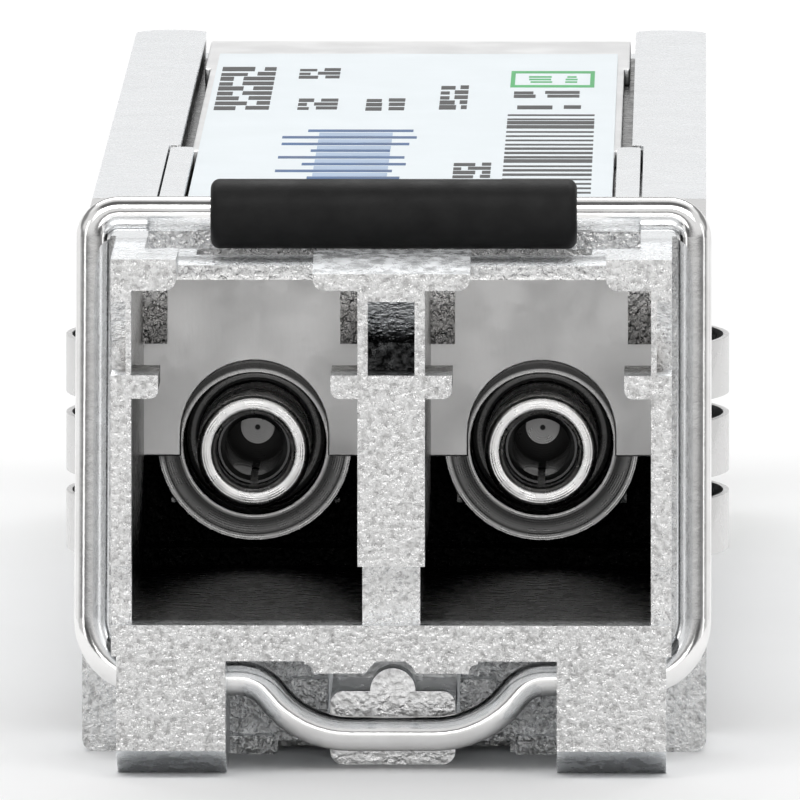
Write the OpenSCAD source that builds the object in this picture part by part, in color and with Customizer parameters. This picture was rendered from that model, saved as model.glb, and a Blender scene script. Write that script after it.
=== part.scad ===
// Pluggable optical transceiver module with two fibre ports and a swinging wire bail.
// The working frame of the parts has y = 0 on the front face and z = 0 on the top plane;
// at_origin() moves it so that the origin is under the centre of the module.

/* [Housing] */
// Length from the front face to the rear end
body_len = 56.5; // [56:0.1:57]
// Width of the housing behind the flange
body_w = 13.4; // [13.3:0.05:13.4]
// Height of the housing without the chin
body_h = 8.5; // [8.4:0.1:8.6]
// Height of the front, chin included
total_h = 11.15; // [11:0.05:11.3]
// Width of the front of the nose, between the bail's arms
front_w = 11.94; // [11.8:0.02:12]
// Width of the flange that stops against the cage
flange_w = 13.44; // [13.3:0.02:13.6]
// Depth of the flange's front face
flange_y = 5.3; // [5.3:0.1:5.5]
// Depth of the stop face
stop_y = 9.0; // [8.9:0.1:9.1]
// Depth of the joint between the two castings and the rear body
nose_end = 14.0; // [13.9:0.1:14.1]
// Drop of the seam between the upper and lower nose castings
seam_drop = 6.57; // [6.5:0.01:6.6]
// Thickness of a side wall at the rear
skirt_t = 0.7; // [0.6:0.05:0.7]
// Width of a top rail
rail_w = 1.65; // [1.5:0.05:1.7]

/* [Ports] */
// Distance between the two fibre axes
port_pitch = 6.25; // [6.25:0.01:6.25]
// Width of a port opening
port_w = 4.815; // [4.8:0.005:4.83]
// Drop of the port floor
port_floor = 7.83; // [7.8:0.01:7.85]
// Drop of the port ceiling
port_top = 0.67; // [0.65:0.01:0.7]
// Drop of the fibre axes
axis_drop = 5.2; // [5.15:0.01:5.25]
// Gap between a port's two latch catches
catch_gap = 3.67; // [3.6:0.01:3.7]
// Width of the latch slot in the port's upper lip
lip_gap = 2.9; // [2.8:0.05:3]
// Depth of the port, to the rear frame
port_depth = 11.0; // [10.9:0.1:11.1]
// Depth of the face of the receptacle tubes
tube_y = 10.5; // [10.4:0.1:10.6]
// Outer diameter of a receptacle tube
tube_d = 2.46; // [2.4:0.02:2.5]
// Diameter of a receptacle tube's mouth
mouth_d = 1.62; // [1.62:0.02:1.66]
// Diameter of the ferrule seat in a sleeve
ferrule_seat_d = 1.26; // [1.26:0.005:1.27]

/* [Bail] */
// Diameter of the bail wire
wire_d = 0.74; // [0.7:0.02:0.76]
// Outer width of the bail
bail_w = 13.64; // [13.6:0.02:13.7]
// Depth of the pivot
pivot_y = 2.3; // [2.3:0.05:2.35]
// Drop of the pivot
pivot_drop = 9.22; // [9.2:0.01:9.25]
// Depth of the upper bar
bar_y = 4.8; // [4.75:0.01:4.8]
// Rise of the upper bar over the top plane
bar_rise = 0.526; // [0.52:0.001:0.54]
// Throw of the crank under the pivot
crank_throw = 1.2; // [1.15:0.01:1.2]
// Half of the distance between the crank's shoulders
shoulder_x = 3.3; // [3.25:0.01:3.35]
// Half length of the crank's flat
crank_flat = 0.9; // [0.8:0.05:1]
// Diameter of the sleeve on the bail
sleeve_d = 1.5; // [1.4:0.02:1.5]
// Length of the sleeve on the bail
sleeve_len = 7.86; // [7.6:0.02:7.9]
// Diameter of the pivot bores
pivot_bore_d = 0.84; // [0.82:0.01:0.86]

/* [Latch] */
// Width of the slider's front plate
slider_w = 2.68; // [2.6:0.02:2.7]
// Depth of the slider's front plate
slider_y = 2.92; // [2.92:0.02:3]
// Thickness of the slider's front plate
slider_t = 0.78; // [0.7:0.02:0.8]
// Width over the two tines
tine_span = 6.1; // [6:0.05:6.1]
// Thickness of a tine
tine_t = 0.38; // [0.35:0.01:0.38]
// Travel of the slider
slider_travel = 1.2; // [1.1:0.05:1.2]
// Depth of the latch boss's shoulder
boss_y = 11.5; // [11.5:0.1:11.6]
// Width of the latch boss
boss_w = 2.6; // [2.5:0.05:2.6]
// Height of the latch boss
boss_h = 0.45; // [0.4:0.05:0.5]

/* [Electronics] */
// Thickness of the circuit board
board_t = 1.0; // [1:0.05:1.05]
// Depth of the board's inner end
board_y = 25; // [24.8:0.1:25.2]
// Depth of the board's contact edge
board_end = 53.3; // [53.2:0.1:53.4]
// Width of the board's contact edge
edge_w = 9.2; // [9.1:0.05:9.25]
// Number of contacts on each side
contact_count = 10; // [10:1:10]
// Distance between contacts
contact_pitch = 0.8; // [0.8:0.01:0.8]

/* [Hidden] */
$fn = 48;

over = 1;                                   // run of a cut past a face
seam = -seam_drop;
body_bottom = -body_h;
chin_bottom = -total_h;
front_half = front_w / 2;
flange_half = flange_w / 2;
body_half = body_w / 2;
collar_t = 0.15;
collar_depth = 0.16;                        // depth of the collar's seat
seat_half = body_half - collar_depth;
cavity_half = body_half - skirt_t;
cavity_top = -0.65;
cavity_floor = -7.45;
rail_floor = -0.55;                         // ledge between the rails that holds the cover
rail_outer_r = 0.9;
rail_inner_r = 0.7;

port_x = port_pitch / 2;
post_half = port_x - port_w / 2;
port_side = port_x + port_w / 2;
axis_z = -axis_drop;
lip_len = 2.45;
roof_z = -0.36;

board_bottom = body_bottom + 2.25;
board_top = board_bottom + board_t;
bay_y = 46.1;                               // start of the open bottom at the rear

wire_r = wire_d / 2;
bail_half = bail_w / 2 - wire_r;
pivot_z = -pivot_drop;
bail_lean = atan((bar_y - pivot_y) / (bar_rise + pivot_drop));
arm_len = sqrt(pow(bar_y - pivot_y, 2) + pow(bar_rise + pivot_drop, 2));
top_bend = 0.55;
low_bend = 1.25;
sweep_r = arm_len - sleeve_d / 2 - 0.11;    // what the sleeve's swing leaves of the nose
crank_run = shoulder_x - crank_flat;
crank_angle = 2 * atan(crank_throw / crank_run);
crank_r = crank_run / sin(crank_angle);     // sum of the crank's two bend radii
shoulder_r = 0.3 * crank_r;
belly_r = 0.7 * crank_r;

ear_r = 0.28;
foot_in = 3.53;
foot_out = 5.86;
chin_wall_y = 5.2;                          // front of the wall behind the crank
tongue_in = 4.72;
tongue_out = 5.24;
tongue_len = 11.6;
tine_top = -8.05;
tine_end = 14.7;
riser_y = 7.1;
bridge_y = 9.4;                             // rear of the bridge that joins the tines
channel_y = bridge_y + slider_travel + 0.1;
flange_y0 = port_depth + 1.2;               // front of the receptacles' flanges

module at_origin() translate([0, -body_len / 2, total_h]) children();

module both_sides() {
    children();
    mirror([1, 0, 0]) children();
}

module block(x, y, z) translate([x[0], y[0], z[0]]) cube([x[1] - x[0], y[1] - y[0], z[1] - z[0]]);

module slab(half, y, z) block([-half, half], y, z);

module rod_x(r, x0, x1) translate([x0, 0, 0]) rotate([0, 90, 0]) cylinder(r = r, h = x1 - x0);

module at_pivot() translate([0, pivot_y, pivot_z]) children();

// A bend of the wire in the XZ plane, about a centre, from one angle through another
module bend(x, z, r, from, through)
    translate([x, 0, z]) rotate([90, 0, 0]) rotate([0, 0, from])
        rotate_extrude(angle = through) translate([r, 0]) circle(wire_r);

// A turned shape about a fibre axis: profile is [radius, depth] pairs
module turned(side, profile)
    translate([side * port_x, 0, axis_z]) rotate([-90, 0, 0]) rotate_extrude() polygon(profile);

// A profile in the YZ plane, pushed along X
module side_profile(half, points)
    translate([-half, 0, 0]) rotate([90, 0, 90]) linear_extrude(2 * half) polygon(points);

// ---- Nose --------------------------------------------------------------

module nose_outline(z) {
    slab(front_half, [0, flange_y], z);
    slab(flange_half, [flange_y, stop_y], z);
    slab(seat_half, [stop_y, nose_end], z);
}

module port_hollows(z) both_sides() block([post_half, port_side], [-over, port_depth], z);

module nose_cavity(z, end) slab(cavity_half, [port_depth + 0.85, end], z);

// Wall behind a port that frames the retainer plate
module port_frame_cut() both_sides() translate([port_x, 0, 0]) {
    block([-1.88, 1.88], [port_depth - over, port_depth + 2], [-2.9, -1.45]);
    block([-port_w / 2, port_w / 2], [port_depth - over, port_depth + 2], [seam - over, -2.9]);
}

// Sloping pockets over the latch catches, open to the front
module catch_pocket(x0, x1)
    translate([x0, 0, 0]) rotate([90, 0, 90]) linear_extrude(x1 - x0)
        polygon([[-over, -0.9], [0, -0.9], [1.25, -1.9], [1.25, -2.48], [-over, -2.48]]);

// What the sleeve sweeps through as the bail swings forward
module bail_sweep() difference() {
    slab(4.25, [-over, 6.2], [roof_z - over, over]);
    at_pivot() rod_x(sweep_r, -5, 5);
}

// Wall that closes round the necks of the receptacles
module bulkhead(z) difference() {
    slab(cavity_half + 0.1, [13, nose_end - 0.1], z);
    both_sides() {
        translate([port_x, 12, axis_z]) rotate([-90, 0, 0]) cylinder(r = 1.85, h = 4);
        block([port_x - 1.85, port_x + 1.85], [12, 16], [seam, axis_z]);
    }
}

// Tongue on each side that reaches back beside the cover
module tongue(len, z) {
    block([tongue_in, tongue_out], [nose_end - 0.04, nose_end + len], z);
    translate([(tongue_in + tongue_out) / 2, nose_end + len, z[0]])
        cylinder(d = tongue_out - tongue_in, h = z[1] - z[0]);
}

// Takes off a corner that runs along Y, where the solid lies towards sx and sz
module corner_cut(x, z, sx, sz, r, y) difference() {
    block([x - (sx > 0 ? over : r), x + (sx > 0 ? r : over)], y,
          [z - (sz > 0 ? over : r), z + (sz > 0 ? r : over)]);
    translate([x + sx * r, y[0] - over, z + sz * r]) rotate([-90, 0, 0])
        cylinder(r = r, h = y[1] - y[0] + 2 * over);
}

module catches() difference() {
    union() {
        block([post_half, port_x - catch_gap / 2], [0, 2.2], [-2.98, -2.48]);
        block([port_x + catch_gap / 2, port_side], [0, 2.2], [-2.98, -2.48]);
    }
    corner_cut(port_x - catch_gap / 2, -2.98, -1, 1, 0.18, [-over, 3]);
    corner_cut(port_x + catch_gap / 2, -2.98, 1, 1, 0.18, [-over, 3]);
}

module upper_nose() color("lightgray") at_origin() {
    bulkhead([seam, cavity_top + 0.1]);
    both_sides() {
        tongue(tongue_len, [-0.5, 0.04]);
        block([tongue_in, tongue_out], [nose_end - 0.3, nose_end], [-0.75, -0.18]);
    }
    difference() {
        nose_outline([seam, 0]);
        port_hollows([seam - over, -port_top]);
        nose_cavity([seam - over, cavity_top], nose_end + over);
        port_frame_cut();
        both_sides() block([port_x - lip_gap / 2, port_x + lip_gap / 2], [-over, lip_len], [-over, over]);
        slab(5.3, [lip_len, 6.4], [roof_z, over]);
        bail_sweep();
        both_sides() {
            corner_cut(port_x + lip_gap / 2, -port_top, 1, 1, 0.25, [-over, lip_len]);
            corner_cut(port_x - lip_gap / 2, -port_top, -1, 1, 0.25, [-over, lip_len]);
        }
        catch_pocket(-0.5, 0.5);
        both_sides() catch_pocket(port_side + 0.12, front_half + over);
        slab(body_half + over, [stop_y, nose_end + over], [-collar_depth, over]);
    }
    both_sides() catches();
}

module chin_block(y, half) slab(half, y, [chin_bottom, body_bottom]);

// Flange behind the feet, with its outer lower edges rounded
module ears() {
    chin_block([flange_y, stop_y], flange_half - ear_r);
    slab(flange_half, [flange_y, stop_y], [chin_bottom + ear_r, body_bottom]);
    both_sides() translate([flange_half - ear_r, flange_y, chin_bottom + ear_r])
        rotate([-90, 0, 0]) cylinder(r = ear_r, h = stop_y - flange_y);
}

// Wavy lower edge of the beam over the crank
module chin_beam() {
    slab(foot_in, [0, 1.5], [-8.6, body_bottom]);
    difference() {
        slab(1.85, [0, 1.5], [-8.86, -8.6]);
        translate([0, -over, -9.12]) rotate([-90, 0, 0]) cylinder(r = 0.6, h = 4);
        both_sides() translate([1.85, -over, -8.86]) rotate([-90, 0, 0]) cylinder(r = 0.2, h = 4);
    }
}

module foot_bores() at_pivot() both_sides() {
    rod_x(pivot_bore_d / 2, foot_in - over, foot_out + over);
    rod_x(0.62, 5.3, foot_out + over);
    rod_x(0.95, 5.7, flange_half + over);
}

module foot_bevel() side_profile(foot_out + over,
    [[-over, chin_bottom - over], [-over, -10.53], [0, -10.53], [1.4, chin_bottom],
     [1.4, chin_bottom - over]]);

module slider_channels() {
    slab(tine_span / 2 + 0.1, [riser_y - 0.1, channel_y], [tine_top - tine_t - 0.1, tine_top + 0.05]);
    slab(tine_span / 2 + 0.1, [stop_y, channel_y], [body_bottom - over, tine_top + 0.05]);
    both_sides()
        block([boss_w / 2 + 0.1, tine_span / 2 + 0.1], [channel_y - over, tine_end + slider_travel + 0.5],
              [body_bottom - over, tine_top + 0.05]);
    slab(slider_w / 2 + 0.1, [chin_wall_y - over, stop_y + over], [-10.45, tine_top + 0.05]);
}

// Rounds that end the rails, seen from above
module rail_ends() both_sides() {
    difference() {
        block([body_half - rail_outer_r, body_half + over], [body_len - rail_outer_r, body_len + over],
              [body_bottom - over, over]);
        translate([body_half - rail_outer_r, body_len - rail_outer_r, body_bottom - 2 * over])
            cylinder(r = rail_outer_r, h = body_h + 4 * over);
    }
    difference() {
        block([body_half - rail_w - over, body_half - rail_w + rail_inner_r],
              [body_len - rail_inner_r, body_len + over], [rail_floor, over]);
        translate([body_half - rail_w + rail_inner_r, body_len - rail_inner_r, rail_floor - over])
            cylinder(r = rail_inner_r, h = 4 * over);
    }
}

module rear_body() difference() {
    slab(body_half, [nose_end, body_len], [body_bottom, 0]);
    slab(cavity_half, [nose_end - over, body_len + over], [cavity_floor, -0.95]);
    slab(4.6, [nose_end - over, body_len + over], [-2, over]);
    slab(body_half - rail_w, [nose_end - over, body_len + over], [rail_floor, over]);
    both_sides() translate([0.06, 0, 0]) tongue(tongue_len + 0.9, [rail_floor, over]);
    slab(cavity_half, [bay_y, body_len + over], [body_bottom - over, -3]);
    rail_ends();
}

module lower_housing() color("silver") at_origin() {
    difference() {
        union() {
            nose_outline([body_bottom, seam]);
            chin_block([0, flange_y], foot_out);
            ears();
            rear_body();
        }
        both_sides() block([post_half - 0.1, port_side], [-over, port_depth + 1], [-port_floor, 0]);
        slab(front_half + over, [-over, 0.3], [-port_floor, 0]);
        nose_cavity([cavity_floor, 0], nose_end);
        slab(foot_in, [-over, chin_wall_y], [chin_bottom - over, body_bottom]);
        slab(2.5, [4, 6.4], [chin_bottom - over, -10.9]);
        slab(body_half + over, [stop_y, nose_end], [body_bottom - over, body_bottom + collar_depth]);
        foot_bores();
        foot_bevel();
        slider_channels();
    }
    chin_beam();
    bulkhead([cavity_floor - 0.1, seam]);
    slab(boss_w / 2, [boss_y, boss_y + boss_w], [body_bottom - boss_h, body_bottom + 0.2]);
    slab(boss_w / 2, [10.8, nose_end], [body_bottom, body_bottom + 0.2]);
    both_sides() {
        block([1.42, 2.2], [4.6, chin_wall_y + 0.1], [-10.15, -9.5]);
        block([2.6, foot_in], [4.8, chin_wall_y + 0.1], [chin_bottom, -10.75]);
        block([cavity_half - 0.8, cavity_half + 0.1], [26, 28], [cavity_floor - 0.1, board_bottom]);
        block([cavity_half - 0.8, cavity_half + 0.1], [42, 44], [cavity_floor - 0.1, board_bottom]);
        block([post_half - 0.1, port_side], [port_depth + 0.84, port_depth + 1],
              [-port_floor - 0.1, cavity_floor]);
    }
}

module top_cover() color("whitesmoke") at_origin() difference() {
    slab(body_half - rail_w - 0.12, [nose_end + 0.05, body_len - 1.2], [rail_floor, -0.16]);
    both_sides() {
        block([body_half - rail_w - 0.25, body_half], [25, 48], [-over, over]);
        block([tongue_in - 0.06, body_half], [nose_end - over, 27.2], [-over, over]);
    }
}

module label() color("white") at_origin() slab(4.64, [14.8, 51], [-0.16, -0.08]);

// ---- Contact collar ----------------------------------------------------

finger_count = 3;
finger_w = 1.25;
finger_pitch = 1.7;
finger_top = -2.7;
finger_rise = 0.52;
finger_chord = 4.2;
finger_r = (pow(finger_chord / 2, 2) + pow(finger_rise, 2)) / (2 * finger_rise);

module finger() intersection() {
    translate([body_half - collar_t + finger_rise + 0.14 - finger_r, stop_y + 2.4, 0]) difference() {
        cylinder(r = finger_r, h = finger_w, $fn = 96);
        translate([0, 0, -over]) cylinder(r = finger_r - 0.13, h = finger_w + 2 * over, $fn = 96);
    }
    block([body_half - 0.1, body_half + 1], [stop_y + 0.05, nose_end], [0, finger_w]);
}

module contact_collar() color("gainsboro") at_origin() {
    difference() {
        slab(body_half, [stop_y + 0.05, nose_end - 0.05], [body_bottom, 0]);
        slab(body_half - collar_t, [stop_y - over, nose_end + over], [body_bottom + collar_t, -collar_t]);
        slab(3.4, [stop_y - over, nose_end + over], [body_bottom - over, body_bottom + over]);
        both_sides() for (k = [0 : finger_count - 1])
            block([body_half - over, body_half + over], [stop_y + 0.5, nose_end - 0.5],
                  [finger_top - k * finger_pitch - finger_w - 0.1, finger_top - k * finger_pitch + 0.1]);
    }
    both_sides() for (k = [0 : finger_count - 1])
        translate([0, 0, finger_top - k * finger_pitch - finger_w]) finger();
}

// ---- Bail --------------------------------------------------------------

module in_bail_plane() at_pivot() rotate([-bail_lean, 0, 0]) children();

module bail_wire() color("silver") at_origin() in_bail_plane() {
    translate([0, 0, arm_len]) rod_x(wire_r, top_bend - bail_half, bail_half - top_bend);
    translate([0, 0, -crank_throw]) rod_x(wire_r, -crank_flat, crank_flat);
    both_sides() {
        bend(bail_half - top_bend, arm_len - top_bend, top_bend, 0, 90);
        translate([bail_half, 0, low_bend]) cylinder(r = wire_r, h = arm_len - top_bend - low_bend);
        bend(bail_half - low_bend, low_bend, low_bend, -90, 90);
        rod_x(wire_r, shoulder_x, bail_half - low_bend);
        bend(shoulder_x, -shoulder_r, shoulder_r, 90, crank_angle);
        bend(crank_flat, belly_r - crank_throw, belly_r, -90, crank_angle);
    }
}

module bail_sleeve() color("#262626") at_origin() in_bail_plane()
    translate([-sleeve_len / 2, 0, arm_len]) rotate([0, 90, 0]) rotate_extrude() difference() {
        union() {
            translate([0, 0.2]) square([sleeve_d / 2, sleeve_len - 0.4]);
            square([sleeve_d / 2 - 0.2, sleeve_len]);
            for (y = [0.2, sleeve_len - 0.2]) translate([sleeve_d / 2 - 0.2, y]) circle(0.2);
        }
        translate([-over, -over]) square([over + wire_r + 0.03, sleeve_len + 2 * over]);
    }

// ---- Latch slider ------------------------------------------------------

// Plate in the XZ plane with four rounded corners
module rounded_plate(half, y, z, r) {
    slab(half - r, y, z);
    slab(half, y, [z[0] + r, z[1] - r]);
    both_sides() for (corner = [z[0] + r, z[1] - r])
        translate([half - r, y[0], corner]) rotate([-90, 0, 0]) cylinder(r = r, h = y[1] - y[0]);
}

module latch_slider() color("lightgray") at_origin() {
    rounded_plate(slider_w / 2, [slider_y, slider_y + slider_t], [chin_bottom, -9.57], 0.28);
    intersection() {
        translate([0, slider_y, -9.56]) rotate([-90, 0, 0]) cylinder(r = 0.486, h = slider_t);
        slab(1, [0, 5], [-9.7, -9]);
    }
    slab(slider_w / 2, [slider_y + slider_t - 0.1, riser_y + 0.6], [-10.3, -9.75]);
    slab(slider_w / 2, [riser_y, riser_y + 0.6], [-10.3, tine_top - 0.1]);
    slab(tine_span / 2, [riser_y, bridge_y], [tine_top - tine_t, tine_top]);
    both_sides() translate([1.55, 0, 0]) rotate([90, 0, 90]) linear_extrude(tine_span / 2 - 1.55)
        polygon([[9.3, tine_top - tine_t], [9.3, tine_top], [tine_end, tine_top],
                 [tine_end, tine_top - 0.05], [tine_end - tine_t + 0.05, tine_top - tine_t]]);
}

// ---- Optical sub-assemblies --------------------------------------------

module retainer_plate() color("#8f8f8c") at_origin() difference() {
    slab(5.7, [port_depth + 0.85, flange_y0], [-5.44, -0.9]);
    both_sides() translate([port_x, 0, 0]) {
        translate([0, port_depth, -4.95]) rotate([-90, 0, 0]) cylinder(r = 1.6, h = 3);
        block([-1.6, 1.6], [port_depth, port_depth + 3], [-6, -4.95]);
    }
}

seat_r = ferrule_seat_d / 2;
sleeve_r = mouth_d / 2 - 0.03;
sleeve_y = [tube_y + 0.9, 14.5];
holder_y = 14.55;                           // front of the bore that holds the stub
holder_r = 0.95;
stub_y = 15.7;                              // polished end of the stub
stub_r = 0.36;
groove_r = 1.54;
groove_end = 13.6;

module receptacle(side, rear_r) turned(side, [
    [mouth_d / 2, tube_y + 0.1], [mouth_d / 2 + 0.1, tube_y], [tube_d / 2 - 0.08, tube_y],
    [tube_d / 2, tube_y + 0.08], [tube_d / 2, groove_end], [groove_r, groove_end],
    [groove_r, flange_y0], [2.14, flange_y0], [2.14, flange_y0 + 0.5], [1.75, flange_y0 + 0.5],
    [1.75, nose_end + 0.1], [2.1, nose_end + 0.1], [2.1, 15.6], [rear_r, 15.6],
    [rear_r, 18.6], [holder_r, 18.6], [holder_r, holder_y], [mouth_d / 2, holder_y]]);

module split_sleeve(side) difference() {
    turned(side, [[seat_r + 0.1, sleeve_y[0]], [sleeve_r, sleeve_y[0]], [sleeve_r, sleeve_y[1]],
                  [seat_r, sleeve_y[1]], [seat_r, sleeve_y[0] + 0.1]]);
    translate([side * port_x, 0, axis_z]) block([-0.08, 0.08], [tube_y, 18], [-1, -0.3]);
}

module stub(side) turned(side, [[0, stub_y], [stub_r, stub_y], [stub_r, stub_y + 0.3],
                                [holder_r - 0.03, stub_y + 0.3], [holder_r - 0.03, 18.5], [0, 18.5]]);

module can(side) turned(side, [[0, 18.65], [1.6, 18.65], [1.6, 20.6], [1.9, 20.6], [1.9, 21.3], [0, 21.3]]);

module transmit_receptacle() color("silver") at_origin() receptacle(-1, 1.9);
module receive_receptacle() color("silver") at_origin() receptacle(1, 1.7);
module transmit_sleeve() color("ivory") at_origin() split_sleeve(-1);
module receive_sleeve() color("ivory") at_origin() split_sleeve(1);
module transmit_stub() color("gray") at_origin() stub(-1);
module receive_stub() color("gray") at_origin() stub(1);
module laser_can() color("gold") at_origin() can(-1);
module photodiode_can() color("gold") at_origin() can(1);

// A flexible circuit from the back of a can down to the top of the board
module flex(side) translate([side * port_x, 0, 0]) side_profile(1.5, [
    [21.3, -6.9], [21.45, -6.9], [21.45, -4.2], [21.7, -3.95], [22.9, -3.95], [25.6, board_top],
    [28, board_top], [28, board_top + 0.15], [25.7, board_top + 0.15], [23, -3.8], [21.6, -3.8],
    [21.3, -4.1]]);

module transmit_flex() color("darkorange") at_origin() flex(-1);
module receive_flex() color("darkorange") at_origin() flex(1);

// ---- Circuit board -----------------------------------------------------

module circuit_board() color("darkgreen") at_origin() {
    slab(cavity_half - 0.1, [board_y, 45.2], [board_bottom, board_top]);
    slab(edge_w / 2, [45.1, board_end], [board_bottom, board_top]);
}

module edge_contacts() color("gold") at_origin()
    for (k = [0 : contact_count - 1], z = [board_top, board_bottom - 0.05])
        translate([(k - (contact_count - 1) / 2) * contact_pitch, 0, 0])
            block([-0.28, 0.28], [board_end - 3.4, board_end - 0.5], [z, z + 0.05]);

module chip(x, y, size, h) translate([x, y, 0])
    block([-size / 2, size / 2], [-size / 2, size / 2], [board_top, board_top + h]);

module laser_driver() color("#222222") at_origin() chip(-2.9, 31.5, 4, 0.85);
module receiver_amplifier() color("#222222") at_origin() chip(2.9, 31.5, 3, 0.85);
module controller() color("#222222") at_origin() chip(0, 38.5, 5, 0.9);

module chip_capacitors() color("tan") at_origin() for (x = [-4.8, -3.8, 3.8, 4.8], y = [36, 38, 40, 42])
    translate([x, y, 0]) block([-0.25, 0.25], [-0.5, 0.5], [board_top, board_top + 0.5]);

module thermal_pad() color("lightpink") at_origin()
    block([-4.9, -0.9], [29.5, 33.5], [cavity_floor, board_bottom]);

upper_nose();
lower_housing();
top_cover();
label();
contact_collar();
bail_wire();
bail_sleeve();
latch_slider();
retainer_plate();
transmit_receptacle();
receive_receptacle();
transmit_sleeve();
receive_sleeve();
transmit_stub();
receive_stub();
laser_can();
photodiode_can();
transmit_flex();
receive_flex();
circuit_board();
edge_contacts();
laser_driver();
receiver_amplifier();
controller();
chip_capacitors();
thermal_pad();
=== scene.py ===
import math
import random

import bmesh
import bpy
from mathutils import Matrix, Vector


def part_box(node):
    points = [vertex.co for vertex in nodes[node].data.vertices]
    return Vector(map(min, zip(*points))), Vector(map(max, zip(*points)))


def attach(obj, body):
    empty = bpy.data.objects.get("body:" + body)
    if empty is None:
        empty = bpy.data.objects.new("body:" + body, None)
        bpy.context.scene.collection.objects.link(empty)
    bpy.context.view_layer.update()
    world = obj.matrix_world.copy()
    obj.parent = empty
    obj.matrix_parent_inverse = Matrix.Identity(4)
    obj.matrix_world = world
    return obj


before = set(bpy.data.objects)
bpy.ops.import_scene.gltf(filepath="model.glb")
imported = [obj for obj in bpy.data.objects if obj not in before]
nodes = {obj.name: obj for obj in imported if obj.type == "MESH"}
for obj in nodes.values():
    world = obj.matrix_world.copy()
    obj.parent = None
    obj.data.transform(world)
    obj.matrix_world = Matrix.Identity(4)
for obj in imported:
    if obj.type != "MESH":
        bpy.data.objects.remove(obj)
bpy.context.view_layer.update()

MM = 0.001

# Places taken from the frame
TONGUE_RISE = 0.04 * MM
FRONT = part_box("lower_housing")[0].y
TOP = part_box("upper_nose")[1].z - TONGUE_RISE
PRINT_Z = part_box("label")[1].z


def region(low, high):
    """The corners of a box given in mm from the middle of the front edge of the top."""
    corner = Vector((0, FRONT, TOP))
    return corner + Vector(low) * MM, corner + Vector(high) * MM


# Box of the painted shade in the port hollows
SHADED_PORTS = region((-5.95, 0.45, -8.1), (5.95, 30, -0.52))
# Box of the painted shade in the hollow between the ports
SHADED_CENTRE_POCKET = region((-0.62, -1, -2.6), (0.62, 3, -0.6))
NOSE_ROOF = region((-5.35, 2.4, -0.5), (5.35, 6.5, -0.3))
# Box of the painted shade in the narrow gaps between the cover and the rails
COVER_GAP_SHADE = region((-5.3, 14.2, -0.62), (5.3, 55.2, -0.1))


# ---- Materials -----------------------------------------------------------

class NodeTree:
    """Short ways to add nodes to a material's tree or the world's."""

    def __init__(self, tree):
        self.tree = tree

    def add(self, kind, **values):
        made = self.tree.nodes.new(kind)
        for key, value in values.items():
            setattr(made, key, value)
        return made

    def feed(self, socket, value):
        """Links another node's output to a socket, or sets the socket to a plain value."""
        if isinstance(value, bpy.types.NodeSocket):
            self.tree.links.new(value, socket)
        else:
            socket.default_value = value

    def split(self, vector):
        """The X, Y and Z outputs of a vector."""
        made = self.add("ShaderNodeSeparateXYZ")
        self.feed(made.inputs[0], vector)
        return made.outputs

    def math(self, operation, first, second=0.0):
        made = self.add("ShaderNodeMath", operation=operation)
        self.feed(made.inputs[0], first)
        self.feed(made.inputs[1], second)
        return made.outputs[0]

    def vector_math(self, operation, first, second=(0, 0, 0)):
        made = self.add("ShaderNodeVectorMath", operation=operation)
        self.feed(made.inputs[0], first)
        self.feed(made.inputs[1], second)
        return made

    def mix(self, fac, first, second, blend="MIX"):
        made = self.add("ShaderNodeMix", data_type="RGBA", blend_type=blend)
        self.feed(made.inputs["Factor"], fac)
        self.feed(made.inputs["A"], first)
        self.feed(made.inputs["B"], second)
        return made.outputs["Result"]

    def ramp(self, fac, stops):
        """Colours that change from stop to stop. Each stop is a place from 0 to 1 and a colour."""
        made = self.add("ShaderNodeValToRGB")
        elements = made.color_ramp.elements
        while len(elements) < len(stops):
            elements.new(0.5)
        for element, (at, colour) in zip(elements, stops):
            element.position = at
            element.color = (*colour, 1)
        self.feed(made.inputs["Fac"], fac)
        return made.outputs["Color"]


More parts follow.
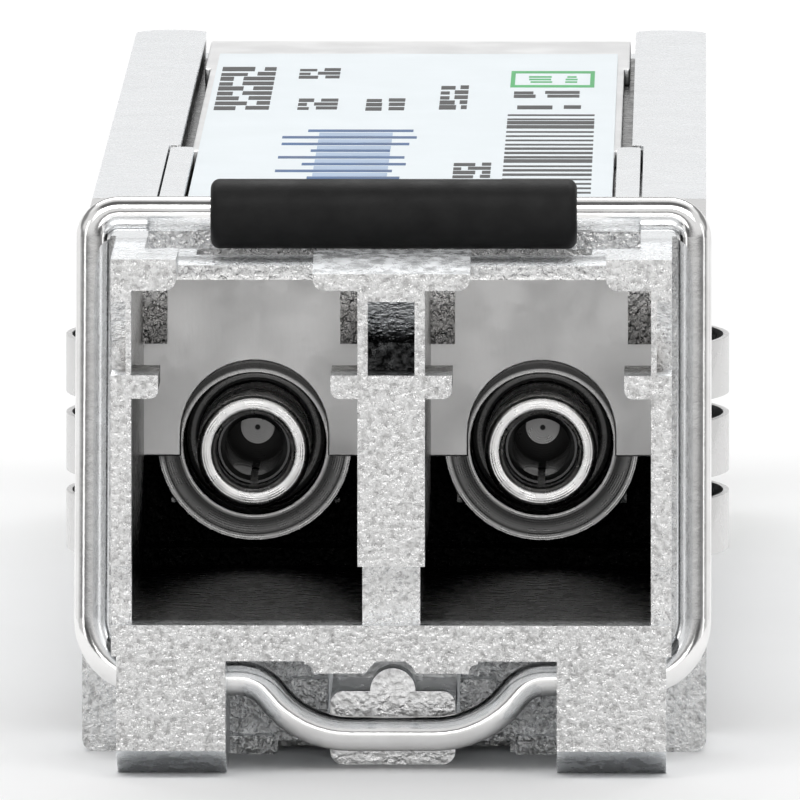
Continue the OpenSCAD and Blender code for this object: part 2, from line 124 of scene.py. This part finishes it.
class Shader(NodeTree):
    """A material's tree around its Principled surface."""

    def __init__(self, name, colour, metallic, roughness, coat=0.0, specular=0.5):
        self.material = bpy.data.materials.new(name)
        self.material.use_nodes = True
        super().__init__(self.material.node_tree)
        self.surface = self.tree.nodes["Principled BSDF"]
        self.surface.inputs["Metallic"].default_value = metallic
        self.surface.inputs["Roughness"].default_value = roughness
        self.surface.inputs["Coat Weight"].default_value = coat
        self.surface.inputs["Specular IOR Level"].default_value = specular
        self.surface.inputs["Base Color"].default_value = (*colour, 1)
        self.place = self.add("ShaderNodeTexCoord").outputs["Object"]
        self.last_normal = None

    def noise(self, size, detail=4.0, roughness=0.6, scale=(1, 1, 1)):
        """Noise whose grains are about size metres across, drawn out on an axis where scale is under 1."""
        mapping = self.add("ShaderNodeMapping")
        mapping.inputs["Scale"].default_value = scale
        self.feed(mapping.inputs["Vector"], self.place)
        made = self.add("ShaderNodeTexNoise")
        made.inputs["Scale"].default_value = 1 / size
        made.inputs["Detail"].default_value = detail
        made.inputs["Roughness"].default_value = roughness
        self.feed(made.inputs["Vector"], mapping.outputs["Vector"])
        return made.outputs["Fac"]

    def vary_roughness(self, fac, low, high):
        """Roughness from low to high, following a noise's middle range."""
        made = self.add("ShaderNodeMapRange")
        made.inputs["From Min"].default_value = 0.3
        made.inputs["From Max"].default_value = 0.7
        made.inputs["To Min"].default_value = low
        made.inputs["To Max"].default_value = high
        self.feed(made.inputs["Value"], fac)
        self.feed(self.surface.inputs["Roughness"], made.outputs["Result"])

    def step(self, value, low, high):
        """0 up to low, 1 from high on, smooth between."""
        made = self.add("ShaderNodeMapRange", interpolation_type="SMOOTHSTEP")
        made.inputs["From Min"].default_value = low
        made.inputs["From Max"].default_value = high
        self.feed(made.inputs["Value"], value)
        return made.outputs["Result"]

    def facing_front(self):
        """1 on faces that look towards the front end, 0 on the rest."""
        normal = self.split(self.add("ShaderNodeNewGeometry").outputs["Normal"])
        return self.step(self.math("MULTIPLY", normal["Y"], -1.0), 0.35, 0.8)

    def inside(self, box, blur=0.05):
        """1 inside a box of the frame, 0 outside it."""
        low, high = box
        away = self.vector_math("SUBTRACT", self.place, (low + high) / 2)
        share = self.vector_math("DIVIDE", away.outputs[0], (high - low) / 2)
        size = self.split(self.vector_math("ABSOLUTE", share.outputs[0]).outputs[0])
        widest = self.math("MAXIMUM", size["X"], self.math("MAXIMUM", size["Y"], size["Z"]))
        return self.math("SUBTRACT", 1.0, self.step(widest, 1.0 - blur, 1.0))

    def radius_from(self, centre):
        """Distance from the line along Y through centre."""
        away = self.vector_math("SUBTRACT", self.place, centre)
        flat = self.vector_math("MULTIPLY", away.outputs[0], (1, 0, 1))
        return self.vector_math("LENGTH", flat.outputs[0]).outputs["Value"]

    def paint(self, colour):
        self.feed(self.surface.inputs["Base Color"], colour)

    def mottle(self, fac, dark, light):
        """Two close colours in soft patches."""
        self.paint(self.ramp(fac, [(0.35, dark), (0.65, light)]))

    def bump(self, height, depth, strength=1.0):
        """Adds relief of this depth in metres to the relief that is there already."""
        made = self.add("ShaderNodeBump")
        made.inputs["Distance"].default_value = depth
        made.inputs["Strength"].default_value = strength
        self.feed(made.inputs["Height"], height)
        if self.last_normal is not None:
            self.feed(made.inputs["Normal"], self.last_normal)
        self.last_normal = made.outputs["Normal"]
        self.feed(self.surface.inputs["Normal"], self.last_normal)


def grey(value, warm=0.0):
    """A grey of this value, a little warmer where warm is over 0 and cooler where it is under."""
    return (value * (1 + warm), value, value * (1 - warm))


def outside_colour(shader, value, pebbles, facing):
    """Blasted front faces, moulded sides, and painted shade in the gaps beside the cover."""
    blasted = shader.ramp(pebbles, [(0.32, grey(value * 0.49, 0.008)), (0.52, grey(value * 0.75, 0.004))])
    stains = shader.noise(1.4 * MM, detail=5)
    moulded = shader.ramp(stains, [(0.3, grey(value * 0.92, -0.02)), (0.7, grey(value, -0.02))])
    # Painted shade: near black in the narrow gaps between the cover and the rails
    gap = shader.ramp(pebbles, [(0.3, grey(0.006)), (0.6, grey(0.02))])
    return shader.mix(shader.inside(COVER_GAP_SHADE, 0.01), shader.mix(facing, moulded, blasted), gap)


def hollow_painted_shade(shader, pebbles):
    """Painted light and shade on the ports' sides, lighter near the top, darker with depth below it and near
    black low at the back, and painted shade in the hollow between the ports.
    """
    place = shader.split(shader.place)
    port_height = 8 * MM
    port_back = FRONT + 9.4 * MM
    drop = shader.math("DIVIDE", shader.math("SUBTRACT", TOP, place["Z"]), port_height)
    # Painted light and shade: light near the top, darker with depth below the top
    wall_shade = shader.ramp(drop, [(0.2, grey(1.0, 0.01)), (0.27, grey(0.5, 0.02)), (0.4, grey(0.2, 0.02)),
                               (0.75, grey(0.03)), (0.97, grey(0.05))])
    # Painted shadow: near black on the low, far part of each port
    far = shader.step(place["Y"], port_back, port_back + 1.2 * MM)
    far_low_shadow = shader.math("MULTIPLY", far, shader.step(drop, 0.64, 0.7))
    wall_shade = shader.mix(far_low_shadow, wall_shade, shader.ramp(pebbles, [(0.3, grey(0.002)), (0.6, grey(0.006))]))
    # Painted shade in the hollow between the ports: lighter near the top, near black lower down
    pocket_shade = shader.mix(shader.step(drop, 0.15, 0.24),
                        shader.ramp(pebbles, [(0.35, grey(0.1)), (0.5, grey(0.6))]),
                        shader.ramp(pebbles, [(0.35, grey(0.004)), (0.6, grey(0.08))]))
    return shader.mix(shader.inside(SHADED_CENTRE_POCKET), wall_shade, pocket_shade)


def cast_metal(name, value, grain, depth, rough):
    """Plated die casting: smooth moulded sides, blasted front faces, and painted shade in the port hollows.
    """
    shader = Shader(name, grey(value), 1.0, rough)
    facing = shader.facing_front()
    blasted = shader.math("MAXIMUM", facing, shader.inside(NOSE_ROOF, 0.02))
    pebbles = shader.noise(grain, detail=2.5, roughness=0.5)
    pits = shader.noise(grain * 0.45, detail=2)
    shader.bump(shader.math("MULTIPLY", pebbles, blasted), depth)
    shader.bump(shader.math("MULTIPLY", pits, blasted), depth * 0.35, 0.9)
    shader.bump(shader.noise(grain * 5, detail=3), depth * 0.1, 0.5)
    shader.vary_roughness(shader.noise(grain * 2.2, detail=5), rough - 0.06, rough + 0.1)
    # Painted shade inside the port hollows, the casting's own colours outside them
    shader.paint(shader.mix(shader.inside(SHADED_PORTS), outside_colour(shader, value, pebbles, facing),
                            hollow_painted_shade(shader, pebbles)))
    return shader.material


def sheet_metal(name, value, rough, warm=0.0, lines=(1, 0.08, 1)):
    """Rolled sheet: fine lines drawn out along one axis, and soft stains."""
    shader = Shader(name, grey(value, warm), 1.0, rough)
    shader.bump(shader.noise(0.09 * MM, detail=3, scale=lines), 0.004 * MM, 0.7)
    stains = shader.noise(1.6 * MM, detail=5)
    shader.vary_roughness(stains, rough - 0.06, rough + 0.08)
    shader.mottle(stains, grey(value * 0.9, warm), grey(value, warm))
    return shader.material


def polished_wire():
    """Bright drawn wire with a faint waviness and fine scratches."""
    shader = Shader("polished_wire", grey(0.8), 1.0, 0.1)
    shader.bump(shader.noise(0.35 * MM, detail=2), 0.006 * MM, 0.5)
    shader.bump(shader.noise(0.03 * MM, detail=2), 0.0015 * MM, 0.5)
    shader.vary_roughness(shader.noise(0.8 * MM, detail=6), 0.06, 0.17)
    shader.mottle(shader.noise(1.2 * MM), grey(0.8, 0.01), grey(0.9, 0.005))
    return shader.material


def turned_metal(name, centre, rough, zones):
    """Lathe-turned surface: fine rings about the fibre axis, and a brightness for each zone of radius, most
    of it painted light and shade.
    """
    shader = Shader(name, grey(0.6, 0.01), 1.0, rough)
    radius = shader.radius_from(centre)
    ring_pitch = 0.05 * MM
    rings = shader.math("SINE", shader.math("MULTIPLY", radius, 2 * math.pi / ring_pitch))
    shader.bump(rings, 0.0012 * MM, 0.5)
    shader.bump(shader.noise(0.1 * MM, detail=3), 0.006 * MM, 0.6)
    stains = shader.noise(0.5 * MM, detail=5)
    shader.vary_roughness(stains, rough - 0.05, rough + 0.08)
    reach = zones[-1][1]
    stops = []
    for start, end, value in zones:
        stops += [(start / reach, grey(value, 0.01)), (end / reach, grey(value, 0.01))]
    # Painted light and shade: the brightness of each zone of radius
    turned = shader.ramp(shader.math("DIVIDE", radius, reach * MM), stops)
    worn = shader.ramp(stains, [(0.35, grey(0.82)), (0.65, grey(1.0))])
    shader.paint(shader.mix(1.0, turned, worn, "MULTIPLY"))
    return shader.material


def plain(name, dark, light, rough, grain, depth, metallic=0.0, coat=0.0):
    """Plastics, ceramics, films and plating: a mottled colour with a fine skin."""
    shader = Shader(name, light, metallic, rough, coat)
    shader.bump(shader.noise(grain, detail=3), depth, 0.6)
    patches = shader.noise(grain * 9, detail=5)
    shader.vary_roughness(patches, max(rough - 0.06, 0.02), rough + 0.08)
    shader.mottle(patches, dark, light)
    return shader.material


def sleeve_plastic():
    """Black heat-shrunk sleeve, matte with faint streaks along the bar."""
    shader = Shader("black_sleeve", grey(0.009), 0.0, 0.5, specular=0.16)
    shader.bump(shader.noise(0.12 * MM, detail=4), 0.012 * MM, 0.6)
    shader.bump(shader.noise(0.5 * MM, detail=3, scale=(0.15, 1, 1)), 0.01 * MM, 0.5)
    shader.vary_roughness(shader.noise(0.9 * MM, detail=5), 0.42, 0.6)
    shader.mottle(shader.noise(0.6 * MM, detail=5), grey(0.007), grey(0.012))
    return shader.material


def printing_ink(name, dark, light, rough=0.45):
    return plain(name, dark, light, rough, grain=0.1 * MM, depth=0.001 * MM)


# ---- CAD nodes: rounded edges and finishes ------------------------------

def soften(node, width):
    """Rounded edges on a CAD node, by modifiers only."""
    shape = nodes[node]
    weld = shape.modifiers.new("weld", "WELD")
    weld.merge_threshold = 0.0005 * MM
    flat = shape.modifiers.new("flat", "DECIMATE")
    flat.decimate_type = "DISSOLVE"
    flat.angle_limit = math.radians(0.5)
    bevel = shape.modifiers.new("round", "BEVEL")
    bevel.width = width
    bevel.segments = 3
    bevel.limit_method = "ANGLE"
    bevel.angle_limit = math.radians(35)
    smooth(shape)


def smooth(shape):
    """Smooth shading that follows the larger faces and keeps sharp edges."""
    for face in shape.data.polygons:
        face.use_smooth = True
    normals = shape.modifiers.new("normals", "WEIGHTED_NORMAL")
    normals.keep_sharp = True


def finish_node(node, material):
    shape = nodes[node]
    shape.data.materials.clear()
    shape.data.materials.append(material)


def axis_of(node):
    """A point on a turned node's axis: the middle of its box."""
    low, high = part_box(node)
    return (low + high) / 2


# Zones of a turned face in mm: radius from, radius to, and brightness, from the bore to the flange
# Besides the tube's own light face, these are painted light and shade: dark bore and groove, a flange darker
# nearer the tube, and bright rings as painted highlights on the rims
TUBE_SHADE_AND_HIGHLIGHT_ZONES = [(0, 0.78, 0.02), (0.82, 1.235, 0.92), (1.25, 1.3, 0.01), (1.34, 1.4, 0.12), (1.43, 1.53, 0.01),
              (1.56, 1.6, 0.5), (1.66, 1.74, 0.05), (1.88, 1.93, 0.16), (1.96, 1.99, 0.06), (2.03, 2.2, 0.5)]
# The stub's face: the fibre, the ceramic round it, and painted shade of the bore beyond it
STUB_ZONES_WITH_BORE_SHADE = [(0, 0.05, 0.02), (0.07, 0.36, 0.28), (0.38, 2.2, 0.02)]

casting = cast_metal("nickel_casting", 0.94, grain=0.13 * MM, depth=0.1 * MM, rough=0.25)
FINISHES = {
    "upper_nose": casting,
    "lower_housing": casting,
    "top_cover": sheet_metal("cover_steel", 0.86, 0.36),
    "label": plain("label_film", (0.79, 0.85, 0.88), (0.82, 0.875, 0.905),
                   rough=0.42, grain=0.15 * MM, depth=0.003 * MM),
    "contact_collar": sheet_metal("spring_metal", 0.66, 0.26, warm=0.006, lines=(0.1, 1, 1)),
    "bail_wire": polished_wire(),
    "bail_sleeve": sleeve_plastic(),
    "latch_slider": cast_metal("slider_metal", 1.0, grain=0.14 * MM, depth=0.03 * MM, rough=0.3),
    "retainer_plate": sheet_metal("grey_plate", 0.86, 0.45, warm=0.008, lines=(1, 1, 0.2)),
    "transmit_receptacle": turned_metal("turned_steel", axis_of("transmit_receptacle"), 0.26, TUBE_SHADE_AND_HIGHLIGHT_ZONES),
    "receive_receptacle": turned_metal("turned_steel_b", axis_of("receive_receptacle"), 0.26, TUBE_SHADE_AND_HIGHLIGHT_ZONES),
    "transmit_sleeve": plain("sleeve_ceramic", grey(0.02), grey(0.035),
                             rough=0.14, grain=0.1 * MM, depth=0.001 * MM, coat=0.5),
    "transmit_stub": turned_metal("stub_ceramic", axis_of("transmit_stub"), 0.3, STUB_ZONES_WITH_BORE_SHADE),
    "receive_stub": turned_metal("stub_ceramic_b", axis_of("receive_stub"), 0.3, STUB_ZONES_WITH_BORE_SHADE),
    "laser_can": plain("gold_plate", (0.62, 0.42, 0.14), (0.83, 0.62, 0.26),
                       rough=0.26, grain=0.1 * MM, depth=0.003 * MM, metallic=1.0),
    "transmit_flex": plain("flex_film", (0.5, 0.22, 0.03), (0.68, 0.34, 0.06),
                           rough=0.3, grain=0.3 * MM, depth=0.004 * MM, coat=0.3),
    "circuit_board": plain("board_laminate", (0.01, 0.12, 0.05), (0.015, 0.17, 0.07),
                           rough=0.34, grain=0.2 * MM, depth=0.01 * MM, coat=0.4),
    "laser_driver": plain("chip_epoxy", (0.02, 0.02, 0.021), (0.035, 0.035, 0.037),
                          rough=0.5, grain=0.06 * MM, depth=0.008 * MM),
    "chip_capacitors": plain("capacitor_ceramic", (0.3, 0.2, 0.12), (0.5, 0.36, 0.22),
                             rough=0.5, grain=0.08 * MM, depth=0.006 * MM),
    "thermal_pad": plain("pad_silicone", (0.55, 0.36, 0.36), (0.68, 0.48, 0.47),
                         rough=0.7, grain=0.2 * MM, depth=0.02 * MM),
}
# Nodes with the same finish as another node
SAME = {
    "photodiode_can": "laser_can", "edge_contacts": "laser_can", "receiver_amplifier": "laser_driver",
    "controller": "laser_driver", "receive_flex": "transmit_flex", "receive_sleeve": "transmit_sleeve",
}
for node in nodes:
    finish_node(node, FINISHES[SAME.get(node, node)])

# How far each node's edges are rounded
ROUNDING = {
    "upper_nose": 0.1 * MM, "lower_housing": 0.09 * MM, "top_cover": 0.04 * MM, "contact_collar": 0.03 * MM,
    "latch_slider": 0.06 * MM, "retainer_plate": 0.04 * MM, "circuit_board": 0.03 * MM,
    "laser_driver": 0.04 * MM, "receiver_amplifier": 0.04 * MM, "controller": 0.04 * MM,
    "chip_capacitors": 0.04 * MM, "thermal_pad": 0.08 * MM, "transmit_receptacle": 0.04 * MM,
    "receive_receptacle": 0.04 * MM,
}
for node, width in ROUNDING.items():
    soften(node, width)
for node in ("bail_wire", "bail_sleeve"):
    smooth(nodes[node])


# ---- Print on the label --------------------------------------------------

INK_THICKNESS = 0.008 * MM
rng = random.Random(11)


def print_marks(name, ink, bars):
    """Flat marks on the label: each bar is x from, x to, depth from, depth to, in mm."""
    mesh = bmesh.new()
    for x0, x1, y0, y1 in bars:
        corners = [(x0, y0), (x1, y0), (x1, y1), (x0, y1)]
        rings = []
        for z in (PRINT_Z, PRINT_Z + INK_THICKNESS):
            rings.append([mesh.verts.new((x * MM, FRONT + y * MM, z)) for x, y in corners])
        mesh.faces.new(rings[1])
        mesh.faces.new(rings[0][::-1])
        for k in range(4):
            mesh.faces.new((rings[0][k], rings[0][k - 3], rings[1][k - 3], rings[1][k]))
    data = bpy.data.meshes.new(name)
    mesh.to_mesh(data)
    mesh.free()
    piece = bpy.data.objects.new(name, data)
    bpy.context.scene.collection.objects.link(piece)
    data.materials.append(ink)
    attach(piece, "module")


def rows(x, depth, count, fill=0.5, ragged=0.0):
    """Bars along X, one behind the other, each end up to ragged mm short."""
    pitch = (depth[1] - depth[0]) / count
    bars = []
    for k in range(count):
        start = depth[0] + k * pitch
        left = x[0] + rng.uniform(0, ragged)
        right = x[1] - rng.uniform(0, ragged)
        bars.append((left, right, start, start + pitch * fill))
    return bars


def strokes(x, depth, count):
    """A block that reads as small print from afar: rows of two strokes with a gap, and no letters."""
    pitch = (depth[1] - depth[0]) / count
    width = x[1] - x[0]
    half_gap = width * 0.09
    bars = []
    for k in range(count):
        start = depth[0] + k * pitch
        gap = x[0] + width * rng.uniform(0.3, 0.7)
        bars.append((x[0], gap - half_gap, start, start + pitch * rng.uniform(0.55, 0.85)))
        bars.append((gap + half_gap, x[1], start + pitch * 0.1, start + pitch * 0.8))
    return bars


def stripes(x, start, pitch, count):
    """Stripes of three widths in no meaningful order."""
    bars = []
    for k in range(count):
        near = start + k * pitch
        bars.append((x[0], x[1], near, near + rng.choice((0.35, 0.5, 0.8))))
    return bars


def frame_outline(x, depth, side, end):
    """The four bars of a box, side mm thick along its sides and end mm at its ends."""
    return [(x[0], x[1], depth[0], depth[0] + end), (x[0], x[1], depth[1] - end, depth[1]),
            (x[0], x[0] + side, depth[0] + end, depth[1] - end),
            (x[1] - side, x[1], depth[0] + end, depth[1] - end)]


black_ink = printing_ink("black_ink", grey(0.012), grey(0.03), rough=0.5)
blue_ink = printing_ink("blue_ink", (0.012, 0.07, 0.2), (0.03, 0.12, 0.3))
pale_ink = printing_ink("pale_ink", (0.36, 0.47, 0.64), (0.42, 0.53, 0.7))
green_ink = printing_ink("green_ink", (0.03, 0.36, 0.09), (0.06, 0.46, 0.14))

print_marks("label_block_large", black_ink, strokes((-4.5, -3.25), (36.3, 47.6), 9))
print_marks("label_blocks_small", black_ink, strokes((-2.7, -1.76), (44.4, 47.3), 3)
            + strokes((-2.6, -1.7), (36.4, 39.4), 3) + strokes((-1.05, -0.17), (36.2, 39.5), 3)
            + strokes((0.62, 1.25), (36.5, 42.9), 5) + strokes((1.1, 1.93), (19.6, 23.5), 4))

BLUE_DEPTH = (19.4, 32.5)
BLUE_COUNT = 8
BLUE_PITCH = (BLUE_DEPTH[1] - BLUE_DEPTH[0]) / BLUE_COUNT
print_marks("label_blue_bars", blue_ink, rows((-2.9, 0.25), BLUE_DEPTH, BLUE_COUNT, fill=0.32, ragged=0.8))
pale_starts = [BLUE_DEPTH[0] + 0.65 + BLUE_PITCH * k for k in range(BLUE_COUNT - 1)]
print_marks("label_pale_bars", pale_ink, [(-2.0, -0.35, start, start + 0.75) for start in pale_starts])

print_marks("label_green_frame", green_ink, frame_outline((2.2, 4.13), (42.2, 46.4), side=0.1, end=0.55)
            + rows((2.6, 3.2), (43.4, 45.4), 3, ragged=0.1)
            + rows((3.45, 3.75), (43.4, 45.4), 3, ragged=0.05))
print_marks("label_ticks", black_ink, strokes((2.3, 3.8), (39.5, 41.4), 2)
            + strokes((2.4, 3.85), (36.6, 37.8), 1))
print_marks("label_stripes", black_ink, stripes((2.2, 4.17), start=16, pitch=1.05, count=19))


# ---- Stage, light and camera --------------------------------------------

def area_light(name, place, size, radiance):
    """A softbox aimed at the object, as bright as the given radiance."""
    data = bpy.data.lights.new(name, "AREA")
    data.shape = "RECTANGLE"
    data.size, data.size_y = size
    data.energy = math.pi * size[0] * size[1] * radiance
    lamp = bpy.data.objects.new(name, data)
    lamp.location = place
    lamp.rotation_euler = (-Vector(place)).to_track_quat("-Z", "Y").to_euler()
    bpy.context.scene.collection.objects.link(lamp)


def make_floor():
    bpy.ops.mesh.primitive_plane_add(size=8)
    floor = bpy.context.object
    floor.name = "floor"
    shader = Shader("floor_paper", grey(0.93), 0.0, 0.9, specular=0.1)
    shader.mottle(shader.noise(0.02), grey(0.92), grey(0.94))
    floor.data.materials.append(shader.material)


# How the studio changes with direction, for the metal to reflect. Each pair is how far the direction points
# up (SKY, BACK, ABOVE_FLAGS), sideways (FLAGS) or rearward (REAR), and the brightness or share there.
SKY = [(0.0, 0.72), (0.16, 0.76), (0.2, 0.3), (0.34, 0.3), (0.42, 0.95), (0.8, 0.9), (0.9, 0.15)]
BACK = [(0.0, 1.1), (0.25, 1.1), (0.32, 0.3), (0.6, 0.3), (0.7, 1.1), (1.0, 1.1)]
FLAGS = [(0.38, 1.0), (0.48, 0.25), (0.68, 0.2), (0.8, 0.95)]
ABOVE_FLAGS = [(0.22, 0.0), (0.34, 1.0)]
REAR = [(0.0, 0.0), (0.25, 1.0)]


def make_world():
    """Grey studio in bands, with a dark flag low on each side in front, and its own bands at the back."""
    world = bpy.data.worlds.new("studio")
    bpy.context.scene.world = world
    world.use_nodes = True
    studio = NodeTree(world.node_tree)
    towards = studio.split(studio.add("ShaderNodeTexCoord").outputs["Generated"])

    def bands(direction, pairs):
        return studio.ramp(direction, [(at, grey(value)) for at, value in pairs])

    flags = bands(studio.math("ABSOLUTE", towards["X"]), FLAGS)
    open_flags = studio.mix(bands(towards["Z"], ABOVE_FLAGS), flags, (1, 1, 1, 1))
    ahead = studio.mix(1.0, bands(towards["Z"], SKY), open_flags, "MULTIPLY")
    whole = studio.mix(bands(towards["Y"], REAR), ahead, bands(towards["Z"], BACK))
    background = world.node_tree.nodes["Background"]
    studio.feed(background.inputs["Color"], whole)
    background.inputs["Strength"].default_value = 0.85


def make_camera():
    """A long lens, nearly level, a little to the right and above the front face."""
    distance, azimuth, elevation = 0.524, math.radians(0.71), math.radians(5.82)
    target = Vector((0.19 * MM, FRONT, TOP - 3.0 * MM))
    back = Vector((math.sin(azimuth) * math.cos(elevation), -math.cos(azimuth) * math.cos(elevation),
                   math.sin(elevation)))
    data = bpy.data.cameras.new("camera")
    data.sensor_width = 36
    data.lens = 1108
    data.clip_start, data.clip_end = 0.01, 50
    camera = bpy.data.objects.new("camera", data)
    camera.location = target + back * distance
    camera.rotation_mode = "QUATERNION"
    camera.rotation_quaternion = (-back).to_track_quat("-Z", "Y")
    bpy.context.scene.collection.objects.link(camera)
    bpy.context.scene.camera = camera


# Softboxes: place and size in metres, and radiance
SOFTBOXES = {
    "top_front": ((0.0, -0.45, 0.62), (0.8, 0.28), 3.2),
    "top_rear": ((0.0, 0.5, 0.6), (0.8, 0.28), 3.2),
    "left": ((-0.6, -0.4, 0.25), (0.15, 0.5), 1.2),
    "right": ((0.65, -0.25, 0.2), (0.12, 0.5), 1.1),
    "front": ((0.0, -0.9, 0.12), (0.8, 0.18), 1.5),
}
make_floor()
make_world()
make_camera()
for name, (place, size, radiance) in SOFTBOXES.items():
    area_light(name, place, size, radiance)
bpy.context.scene.view_settings.view_transform = "Standard"
